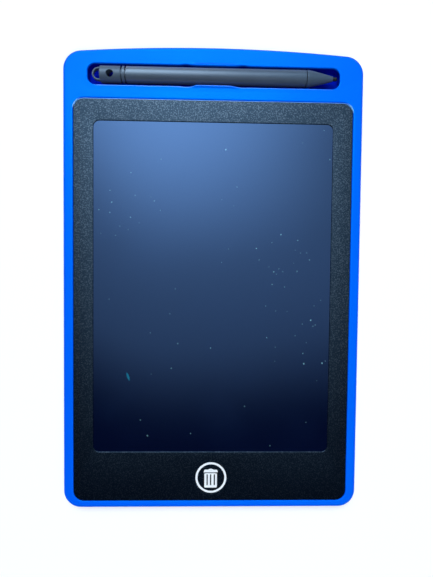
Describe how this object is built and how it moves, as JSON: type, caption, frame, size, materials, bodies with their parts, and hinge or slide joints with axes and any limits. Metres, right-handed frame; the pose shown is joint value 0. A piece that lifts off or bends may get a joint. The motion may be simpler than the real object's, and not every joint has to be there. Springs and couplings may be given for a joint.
{
  "type": "lcd writing tablet",
  "caption": "Flat blue writing tablet with a pressure-sensitive dark screen, a round erase key, a lock slider, a coin cell door and a stylus in a slot.",
  "frame": {"origin": "middle of the flat back face, on the surface that the tablet lies on", "axes": "+Z out of the screen, +Y from the erase key towards the stylus slot, +X to the right as the screen is read"},
  "size_m": [0.1436, 0.2228, 0.009],
  "materials": {
    "case_plastic": "satin moulded ABS, saturated blue",
    "cover_film": "fine-grained PET film printed black on its back",
    "adhesive": "double-sided tape",
    "screen": "glossy film over a dark navy liquid crystal layer",
    "clear_sheet": "clear PET sheet",
    "absorber": "flat black light-absorbing sheet",
    "flex_lead": "amber film lead with copper tracks",
    "board": "green solder mask",
    "steel": "nickel-plated steel",
    "chip": "moulded black resin",
    "capacitor": "tan ceramic",
    "black_plastic": "black moulded plastic",
    "white_plastic": "off-white moulded plastic",
    "stylus_plastic": "satin dark grey plastic",
    "nib_plastic": "hard black acetal"
  },
  "bodies": {
    "case": {"front_frame": "case_plastic", "back_cover": "case_plastic", "overlay_film": "cover_film", "overlay_adhesive": "adhesive", "lcd_front_sheet": "screen", "liquid_crystal_layer": "screen", "lcd_back_sheet": "clear_sheet", "light_absorber": "absorber", "screen_tape": "adhesive", "screen_flex_tail": "flex_lead", "circuit_board": "board", "board_screw_left": "steel", "board_screw_right": "steel", "controller_chip": "chip", "charge_capacitor": "capacitor", "board_resistor_1": "chip", "board_resistor_2": "chip", "board_resistor_3": "chip", "boost_coil": "chip", "tact_switch_base": "black_plastic", "tact_switch_dome": "steel", "lock_switch_body": "steel", "coin_cell": "steel", "cell_contact_negative": "steel", "cell_contact_positive": "steel"},
    "stylus": {"stylus_barrel": "stylus_plastic", "stylus_collar": "stylus_plastic", "stylus_end_cap": "stylus_plastic", "stylus_nose": "stylus_plastic", "stylus_nib": "nib_plastic"},
    "erase_key": {"erase_key_film": "cover_film", "erase_plunger": "black_plastic", "tact_switch_button": "white_plastic"},
    "lock": {"lock_slider": "black_plastic", "lock_switch_lever": "white_plastic"},
    "door": {"battery_door": "case_plastic"},
    "door_screw": {"battery_door_screw": "steel"}
  },
  "joints": [
    {"name": "stylus_lift", "type": "slide", "parent": "case", "child": "stylus", "axis": [0, 0, 1], "range_m": [0, 0.03]},
    {"name": "erase_press", "type": "slide", "parent": "case", "child": "erase_key", "axis": [0, 0, -1], "range_m": [0, 0.0003], "stiffness_N_per_m": 4000, "springref_m": -0.0001},
    {"name": "lock_slide", "type": "slide", "parent": "case", "child": "lock", "axis": [1, 0, 0], "range_m": [0, 0.003]},
    {"name": "battery_door_lift", "type": "slide", "parent": "case", "child": "door", "axis": [0, 0, -1], "range_m": [0, 0.012]},
    {"name": "door_screw_out", "type": "slide", "parent": "door", "child": "door_screw", "axis": [0, 0, -1], "range_m": [0, 0.003]}
  ]
}
